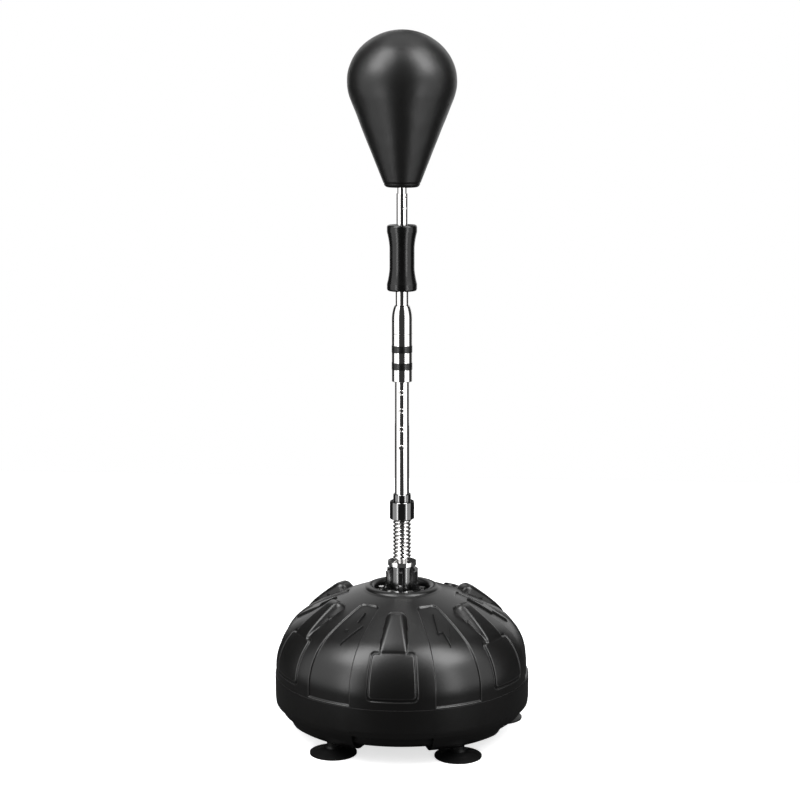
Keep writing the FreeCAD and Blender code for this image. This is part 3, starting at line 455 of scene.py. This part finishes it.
def crowdedTurns():
    # the azimuths of one sector's columns, closest together at the moulded edges
    stops = tank["crowding"]
    profile = [(-at, share) for at, share in stops[:0:-1]] + stops
    marks, total = [], 0.0
    for (a, first), (b, second) in zip(profile, profile[1:]):
        steps = tank["crowdSteps"]
        for index in range(steps):
            marks.append((a + (b - a) * index / steps, total))
            total += (b - a) / steps * (first + (second - first) * (index + 0.5) / steps)
    marks.append((profile[-1][0], total))
    perSector = tank["columns"] // ribs
    turns, place = [], 0
    for column in range(perSector):
        goal = total * column / perSector
        while marks[place + 1][1] < goal:
            place += 1
        (a, low), (b, high) = marks[place], marks[place + 1]
        turns.append(math.radians(a + (b - a) * (goal - low) / (high - low)))
    return turns


def relief(radius, azimuth, height):
    # how far the moulding stands above the plain dome, in millimetres
    line = downslope(radius, height)
    fromRib = (azimuth + sector / 2) % sector - sector / 2
    fromWedge = abs(abs(fromRib) - sector / 2)
    lift = 0.0
    side = radius * (math.radians(tank["wedgeHalf"]) - fromWedge)
    top = line - wedgeTopLine
    foot = seamLine - tank["wedgeFoot"] - line
    # 0.707 makes the chamfer's sum of two distances one distance square to it
    depth = min(side, top, (side + top - tank["wedgeChamfer"]) * 0.707, foot)
    lift -= tank["wedgeDepth"] * soften(depth, *tank["wedgeEase"])
    side = radius * (math.radians(tank["panelHalf"]) - abs(fromRib))
    depth = inward(side, min(line - panelTopLine, panelFootLine - line), tank["panelCorner"])
    lift += tank["panelRise"] * soften(depth, *tank["panelEase"])
    lift += tank["pillowRise"] * soften(depth, tank["pillowIn"] - tank["pillowEase"],
                                        tank["pillowIn"] + tank["pillowEase"])
    across = abs(radius * math.sin(fromRib))
    along = radius * math.cos(fromRib)
    slope = (tank["hoodOuter"] - along) / (tank["hoodOuter"] - tank["hoodCrest"])
    if slope > 0 and along > tank["hoodInner"] - tank["hoodBack"]:
        width = tank["hoodHalf"] - tank["hoodTaper"] * slope
        depth = inward(width - across, (along - tank["hoodInner"]) * tank["hoodRound"],
                       tank["hoodCorner"])
        crest = tank["hoodRise"] * min(slope, 1.0) ** tank["hoodCurve"]
        crest += tank["hoodLip"] * soften(slope, 0.0, tank["lipShare"])
        share = min(max((depth + 0.5) / (3 + crest * tank["hoodFillet"]), 0.0), 1.0)
        wall = math.sqrt(1 - (1 - share) ** 2)
        lift = lift * (1 - wall) + max(crest, lift) * wall
    return lift


port = {
    "place": (84.043, 145.566, 210.469), "tilt": 30.0, "turn": 60.0, "bore": 15.0, "rim": 20.0,
    "depth": 17, "lip": 1.0, "clear": 2.4, "reach": 40, "steps": 96,
}


def portLine():
    tilt, turn = math.radians(port["tilt"]), math.radians(port["turn"])
    axis = Vector((math.sin(tilt) * math.cos(turn), math.sin(tilt) * math.sin(turn),
                   math.cos(tilt)))
    return Vector(port["place"]), axis


def makeTankTop():
    bm = bmesh.new()
    verts, edges = chain(bm, tankOutline())
    spun(bm, verts, edges, tank["columns"])
    bmesh.ops.remove_doubles(bm, verts=bm.verts, dist=weld)
    bmesh.ops.recalc_face_normals(bm, faces=bm.faces)
    bm.normal_update()
    if sum(face.normal.z for face in bm.faces) < 0:
        bmesh.ops.reverse_faces(bm, faces=bm.faces)
        bm.normal_update()
    turns = crowdedTurns()
    for vert in bm.verts:
        x, y, z = vert.co / mm
        radius = math.hypot(x, y)
        if radius < 0.1:
            continue
        column = round(math.atan2(x, -y) % math.tau / math.tau * tank["columns"]) % tank["columns"]
        rib, inSector = divmod(column, len(turns))
        vert.co = polar(radius, rib * sector + turns[inSector], z) * mm
    bm.normal_update()
    moves = []
    for vert in bm.verts:
        x, y, z = vert.co / mm
        radius = math.hypot(x, y)
        if radius > tank["reliefStart"] and z > tank["seam"] + 1:
            moves.append((vert, vert.normal * relief(radius, math.atan2(x, -y), z) * mm))
    for vert, move in moves:
        vert.co += move
    # the fill port's mouth
    foot, axis = portLine()
    gone = []
    for face in bm.faces:
        reach = face.calc_center_median() / mm - foot
        aside = (reach - axis * reach.dot(axis)).length
        if reach.length < port["reach"] and aside < port["bore"] + port["clear"]:
            gone.append(face)
    bmesh.ops.delete(bm, geom=gone, context="FACES")
    # the recess's middle and the seam are closed, the port's mouth stays open
    top, low = tank["topRing"] * mm, tank["footRing"] * mm
    rings = [edge for edge in bm.edges if edge.is_boundary and edge.calc_length() > 0
             and (edge.verts[0].co.z > top or edge.verts[0].co.z < low)]
    bmesh.ops.holes_fill(bm, edges=rings, sides=0)
    piece = finished(bm, "tankTop", "base", "tank_plastic", 60, outward=False)
    # the top takes the finish whose edges are painted lighter, as painted highlight and wear
    piece.data.materials[0] = edgeWearAndHighlightPlastic
    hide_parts("tank_upper")
    return piece


def makePort():
    # a boss with its bore, made upright and then leant onto the wedge
    bm = bmesh.new()
    bore, rim, deep, lip = port["bore"], port["rim"], port["depth"], port["lip"]
    outline = [(bore, -deep), (bore, 0), (bore + 0.9, lip), (rim - 1.2, lip), (rim, -0.2),
               (rim, -deep), (bore, -deep)]
    verts, edges = chain(bm, outline)
    spun(bm, verts, edges, port["steps"])
    bmesh.ops.remove_doubles(bm, verts=bm.verts, dist=weld)
    foot, axis = portLine()
    lean = Vector((0, 0, 1)).rotation_difference(axis).to_matrix().to_4x4()
    bmesh.ops.transform(bm, matrix=Matrix.Translation(foot * mm) @ lean, verts=bm.verts)
    return finished(bm, "fillPort", "base", "tank_plastic", 35)


tankFoot = {
    "cut": 102.9, "ease": 2.2, "easeAngle": 38, "openRing": 100,
    "cavityFloor": 27.4, "cavityTop": 104, "cavityRadius": 219, "floorTop": 60,
}


def insideWall(centre, normal):
    # the cavity's own walls face back at the tank's axis or lie well inside it
    radius = math.hypot(centre.x, centre.y)
    outward = centre.x * normal.x + centre.y * normal.y
    deep = (tankFoot["cavityFloor"] < centre.z < tankFoot["cavityTop"]
            and radius < tankFoot["cavityRadius"])
    facesUp = normal.z > 0.7 and centre.z < tankFoot["floorTop"]
    return deep and (outward < -0.3 * max(radius, 1) or facesUp)


def makeTankFoot():
    # the lower half keeps the moulded lobes and arches, with its edges eased
    bm = bmesh.new()
    bm.from_mesh(nodes["tank_lower"].data)
    bmesh.ops.remove_doubles(bm, verts=bm.verts, dist=cadWeld)
    bmesh.ops.bisect_plane(bm, geom=bm.verts[:] + bm.edges[:] + bm.faces[:], dist=0.000001,
                           plane_co=(0, 0, tankFoot["cut"] * mm), plane_no=(0, 0, 1), clear_outer=True)
    hidden = [face for face in bm.faces
              if insideWall(face.calc_center_median() / mm, face.normal)]
    bmesh.ops.delete(bm, geom=hidden, context="FACES")
    rings = [edge for edge in bm.edges if edge.is_boundary
             and min(v.co.z for v in edge.verts) > tankFoot["openRing"] * mm]
    bmesh.ops.holes_fill(bm, edges=rings, sides=0)
    bmesh.ops.dissolve_limit(bm, angle_limit=math.radians(1.0), verts=bm.verts, edges=bm.edges)
    piece = finished(bm, "tankFoot", "base", "tank_plastic", 30, outward=False)
    ease = piece.modifiers.new("ease", "BEVEL")
    ease.width = tankFoot["ease"] * mm
    ease.segments = 3
    ease.limit_method = "ANGLE"
    ease.angle_limit = math.radians(tankFoot["easeAngle"])
    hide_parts("tank_lower")
    return piece


bolt = {
    # (radius, across)
    "outline": [(115, 3), (142, 4.6), (145, 19), (187, 1.3), (159.6, 0.3), (161, -10)],
    "rise": 3.8, "sunk": 1.2, "ease": 0.7, "seat": 1.06,
    "wedges": (-90, -30, 30, 90, -150),
}


def makeBolts():
    # generic zigzag motifs standing on the wedges
    bm = bmesh.new()
    for middle in bolt["wedges"]:
        corners = []
        for radius, across in bolt["outline"]:
            azimuth = math.radians(middle) + math.atan2(across, radius)
            reach = math.hypot(radius, across)
            corners.append(bm.verts.new(polar(reach, azimuth, 0) * mm))
        face = bm.faces.new(corners)
        bmesh.ops.subdivide_edges(bm, edges=face.edges[:], cuts=3)
        flat = bmesh.ops.extrude_face_region(bm, geom=[face])
        lifted = [item for item in flat["geom"] if isinstance(item, bmesh.types.BMVert)]
        bmesh.ops.translate(bm, vec=(0, 0, 0.001), verts=lifted)
    bmesh.ops.recalc_face_normals(bm, faces=bm.faces)
    rims = [edge for edge in bm.edges if all(v.co.z > 0.0005 for v in edge.verts)
            and len(edge.link_faces) == 2 and edge.calc_face_angle(0) > 1]
    bmesh.ops.bevel(bm, geom=rims, offset=bolt["ease"] * mm, segments=3, profile=0.5,
                    affect="EDGES", material=-1, offset_type="OFFSET")
    for vert in bm.verts:
        x, y, z = vert.co / mm
        height = plainHeight(math.hypot(x, y)) - tank["wedgeDepth"] * bolt["seat"]
        vert.co.z = (height - bolt["sunk"] + (bolt["sunk"] + bolt["rise"]) * z) * mm
    bmesh.ops.triangulate(bm, faces=[face for face in bm.faces if len(face.verts) > 4])
    piece = finished(bm, "boltMotifs", "base", "tank_plastic", 25)
    # the steep side faces take the near-black finish: painted shade on the bolts' sides
    piece.data.materials.append(boltSidePaintedShade)
    for face in piece.data.polygons:
        if abs(face.normal.z) < 0.45:
            face.material_index = 1
    return piece


tankTop = makeTankTop()
makePort()
makeTankFoot()
makeBolts()
print("tank:", len(tankTop.data.polygons), "faces on top")

# the reflex spring is made as two halves, split at the pivot
spring = {
    "coil": 12.6, "wire": 3.3, "pitch": 7.03, "foot": 306.3, "pivot": 341.2, "head": 390.7,
    "perTurn": 40, "round": 14, "bendFrom": 303.5, "bendTo": 380.0,
}


def makeSpringHalf(name, low, high, bodies):
    bm = bmesh.new()
    made = bmesh.ops.create_circle(bm, segments=spring["round"], radius=spring["wire"] * mm, cap_ends=True)
    upright = Matrix.Rotation(math.radians(90), 4, "X")
    start = (low - spring["foot"]) / spring["pitch"] * math.tau
    seat = Matrix.Translation((spring["coil"] * mm, 0, low * mm))
    bmesh.ops.transform(bm, matrix=Matrix.Rotation(start, 4, "Z") @ seat @ upright,
                        verts=made["verts"])
    turns = (high - low) / spring["pitch"]
    steps = int(turns * spring["perTurn"])
    rise = (high - low) * mm / steps
    bmesh.ops.spin(bm, geom=bm.faces[:] + bm.edges[:] + bm.verts[:], cent=(0, 0, 0), axis=(0, 0, 1),
                   dvec=(0, 0, rise), angle=turns * math.tau, steps=steps, use_merge=False,
                   use_duplicate=False)
    bmesh.ops.remove_doubles(bm, verts=bm.verts, dist=weld)
    piece = finished(bm, name, None, "chrome_plate", 50)
    a, b, start, end = bodies
    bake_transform(piece)
    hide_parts("reflex_spring")
    return piece


makeSpringHalf("springLower", spring["foot"], spring["pivot"],
               ("base", "spring", spring["bendFrom"], spring["pivot"]))
makeSpringHalf("springUpper", spring["pivot"], spring["head"],
               ("spring", "lower_mast", spring["pivot"], spring["bendTo"]))
print("spring halves made")


# eased edges on the parts whose corners catch the light
eased = {"hub": ("base", "hub_gloss", 1.1), "spring_collar": ("lower_mast", "collar_gloss", 0.8)}


def makeEased(node, body, slot, width):
    bm = bmesh.new()
    bm.from_mesh(nodes[node].data)
    bmesh.ops.remove_doubles(bm, verts=bm.verts, dist=cadWeld)
    bmesh.ops.dissolve_limit(bm, angle_limit=math.radians(1.0), verts=bm.verts, edges=bm.edges)
    piece = finished(bm, node.title().replace("_", ""), body, slot, 30, outward=False)
    ease = piece.modifiers.new("ease", "BEVEL")
    ease.width = width * mm
    ease.segments = 3
    ease.limit_method = "ANGLE"
    ease.angle_limit = math.radians(40)
    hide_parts(node)


for node, (body, slot, width) in eased.items():
    makeEased(node, body, slot, width)

eyelet = {
    "fromTop": 182.2, "pitch": 32.4, "count": 4, "ring": 4.3, "wire": 0.75, "proud": 0.2,
    "round": 10, "steps": 28,
}


def makeEyelets():
    # small rings pressed into the height holes
    low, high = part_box("lower_tube")
    top, front = high[2] / mm, -low[1] / mm
    bm = bmesh.new()
    for index in range(eyelet["count"]):
        height = top - eyelet["fromTop"] + eyelet["pitch"] * index
        made = bmesh.ops.create_circle(bm, segments=eyelet["round"], radius=eyelet["wire"] * mm)
        upright = Matrix.Rotation(math.radians(90), 4, "X")
        seat = Matrix.Translation((eyelet["ring"] * mm, 0, 0)) @ upright
        bmesh.ops.transform(bm, matrix=seat, verts=made["verts"])
        edges = list({edge for vert in made["verts"] for edge in vert.link_edges})
        bmesh.ops.spin(bm, geom=made["verts"] + edges, cent=(0, 0, 0), axis=(0, 0, 1),
                       angle=math.tau, steps=eyelet["steps"], use_merge=True, use_duplicate=False)
        # the new ring still lies at the origin; the earlier ones have been moved to the tube
        fresh = [vert for vert in bm.verts if abs(vert.co.y) < 0.01 and vert.co.z < 0.1]
        for vert in fresh:
            across, up, out = vert.co.x, vert.co.y, vert.co.z
            bend = front * mm - math.sqrt((front * mm) ** 2 - across ** 2)
            vert.co = (across, bend - (front + eyelet["proud"]) * mm - out, height * mm + up)
    bmesh.ops.remove_doubles(bm, verts=bm.verts, dist=weld)
    return finished(bm, "heightEyelets", "lower_mast", "bright_steel", 50)


makeEyelets()

ball = {
    "low": 957.9, "radius": 93.3, "side": 81.0, "widest": 178.1, "corner": 8.0,
    "cone": 21.6, "crown": 46.0, "neckHole": 8.6, "wall": 3.0, "columns": 128,
    "hem": ((0.8, 0), (1.5, 0.9), (2.3, 0.9), (3.1, 0)),   # (up, in)
    "floorShare": 0.6, "cornerRows": 6, "coneRows": 26, "sideRows": 24, "crownRows": 20,
    "lumps": 14, "swell": 0.0006, "swellFrom": 6, "swellTo": 60, "still": 0.02,
}


def ballOutline(inset):
    side = ball["side"] - inset
    centre = ball["radius"] - ball["side"]
    middle = ball["low"] + ball["widest"]
    cone, crown = math.radians(ball["cone"]), math.radians(ball["crown"])
    coneTop = (centre + side * math.cos(cone), middle - side * math.sin(cone))
    cornerHeight = ball["low"] + inset + ball["corner"] * (1 - math.sin(cone))
    cornerRadius = coneTop[0] - (coneTop[1] - cornerHeight) * math.tan(cone)
    floorRadius = cornerRadius - ball["corner"] * math.cos(cone)
    cornerCentre = (floorRadius, ball["low"] + inset + ball["corner"])
    points = [(ball["neckHole"], ball["low"] + inset),
              (floorRadius * ball["floorShare"], ball["low"] + inset)]
    points += arc(cornerCentre, ball["corner"], -90, -ball["cone"], ball["cornerRows"])
    if inset == 0:
        # the hem round the neck
        for up, inwards in ball["hem"]:
            points.append((cornerRadius + up * math.tan(cone) - inwards, cornerHeight + up))
    for index in range(1, ball["coneRows"]):
        share = index / ball["coneRows"]
        points.append((cornerRadius + (coneTop[0] - cornerRadius) * share,
                       cornerHeight + (coneTop[1] - cornerHeight) * share))
    points += arc((centre, middle), side, -ball["cone"], ball["crown"], ball["sideRows"])
    top = side + centre / math.cos(crown)
    topCentre = (0, middle - centre * math.tan(crown))
    points += arc(topCentre, top, ball["crown"], 90, ball["crownRows"])[1:]
    return points


def makeBallCover():
    # a tight leather skin, slightly uneven over its padding, closed inside
    bm = bmesh.new()
    outer = ballOutline(0)
    inner = ballOutline(ball["wall"])[::-1]
    outer[-1] = (0.0, outer[-1][1])
    inner[0] = (0.0, inner[0][1])
    verts, edges = chain(bm, outer + inner + [outer[0]])
    spun(bm, verts, edges, ball["columns"])
    bmesh.ops.remove_doubles(bm, verts=bm.verts, dist=weld)
    bmesh.ops.dissolve_degenerate(bm, dist=0.000001, edges=bm.edges)
    bmesh.ops.recalc_face_normals(bm, faces=bm.faces)
    for vert in bm.verts:
        place = vert.co * ball["lumps"]
        swell = noise.fractal(place, 0.6, 2.0, 3, noise_basis="PERLIN_ORIGINAL")
        rise = soften(vert.co.z / mm, ball["low"] + ball["swellFrom"], ball["low"] + ball["swellTo"])
        out = Vector((vert.co.x, vert.co.y, 0))
        if out.length > ball["still"]:
            vert.co += out.normalized() * swell * ball["swell"] * rise
    piece = finished(bm, "ballSkin", "ball", "ball_leather", 60)
    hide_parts("ball_cover")
    return piece


makeBallCover()
print("ball made")

studio = {
    "floorShade": 0.78, "floorGlow": 0.68, "floorHalf": 2.15, "floorDark": 0.045, "around": 0.035,
    "boxes": [
        # name, azimuth, distance, height, width, tall, aimed at height, radiance
        ("leftTall", -61, 1.08, 0.96, 1.3, 1.9, 0.96, 1.25),
        ("rightTall", 63, 1.08, 0.96, 1.17, 1.9, 0.96, 1.25),
        ("leftStrip", -41, 1.12, 0.5, 0.16, 1.0, 0.5, 4.5),
        ("rightStrip", 47, 1.12, 0.5, 0.16, 1.0, 0.5, 4.5),
        ("leftHigh", -54, 1.5, 2.62, 1.15, 2.0, 1.15, 8.5),
        ("rightHigh", 62, 1.5, 2.62, 1.15, 2.0, 1.15, 8.5),
        ("backLeft", -160, 2.2, 1.3, 1.2, 2.5, 0.7, 0.9),
        ("backRight", 160, 2.2, 1.3, 1.2, 2.5, 0.7, 0.9),
    ],
    "topRadiance": 0.9, "topSize": 1.4, "topPlace": (0, 0.5, 2.6),
}


def makeFloor():
    bm = bmesh.new()
    bmesh.ops.create_grid(bm, x_segments=1, y_segments=1, size=studio["floorHalf"])
    mesh = bpy.data.meshes.new("floor")
    bm.to_mesh(mesh)
    bm.free()
    floor = bpy.data.objects.new("floor", mesh)
    bpy.context.scene.collection.objects.link(floor)
    look = Finish("paleFloor", specular=0.0, roughness=1.0)
    look.set("color", shade(studio["floorShade"]))
    # pale to the eye, dark to the gloss above it, and run into the white backdrop
    glow = look.add("ShaderNodeEmission", None, {"Color": (1, 1, 1, 1), "Strength": studio["floorGlow"]})
    dull = look.add("ShaderNodeBsdfDiffuse", None, {"Color": shade(studio["floorDark"])})
    ray = look.add("ShaderNodeLightPath", out="Is Camera Ray")
    lit = look.add("ShaderNodeAddShader", None, {0: Wire(look.tree, look.shader.outputs[0]), 1: glow})
    both = look.add("ShaderNodeMixShader", None, {0: ray, 1: dull, 2: lit})
    look.tree.links.new(both.socket, look.tree.nodes["Material Output"].inputs["Surface"])
    mesh.materials.append(look.material)


def makeLights():
    for name, azimuth, away, height, wide, tall, target, radiance in studio["boxes"]:
        lamp = bpy.data.lights.new(name, "AREA")
        lamp.shape = "RECTANGLE"
        lamp.size = wide
        lamp.size_y = tall
        lamp.energy = radiance * math.pi * wide * tall
        box = bpy.data.objects.new(name, lamp)
        place = polar(away, math.radians(azimuth), height)
        box.location = place
        aim = Vector((0, 0, target)) - place
        box.rotation_euler = aim.to_track_quat("-Z", "Y").to_euler()
        bpy.context.scene.collection.objects.link(box)
    lamp = bpy.data.lights.new("topBox", "AREA")
    lamp.shape = "SQUARE"
    lamp.size = studio["topSize"]
    lamp.energy = studio["topRadiance"] * math.pi * lamp.size ** 2
    box = bpy.data.objects.new("topBox", lamp)
    box.location = studio["topPlace"]
    bpy.context.scene.collection.objects.link(box)


def makeWorld():
    world = bpy.data.worlds.new("studioWorld")
    world.use_nodes = True
    bpy.context.scene.world = world
    tree = world.node_tree
    seen = tree.nodes.new("ShaderNodeBackground")
    seen.inputs[0].default_value = (1, 1, 1, 1)
    seen.inputs[1].default_value = 1.0
    dim = tree.nodes["Background"]
    dim.inputs[0].default_value = (1, 1, 1, 1)
    dim.inputs[1].default_value = studio["around"]
    ray = tree.nodes.new("ShaderNodeLightPath")
    mix = tree.nodes.new("ShaderNodeMixShader")
    tree.links.new(ray.outputs["Is Camera Ray"], mix.inputs[0])
    tree.links.new(dim.outputs[0], mix.inputs[1])
    tree.links.new(seen.outputs[0], mix.inputs[2])
    tree.links.new(mix.outputs[0], tree.nodes["World Output"].inputs[0])
    bpy.context.scene.view_settings.view_transform = "Standard"


makeFloor()
makeLights()
makeWorld()
print("studio made")
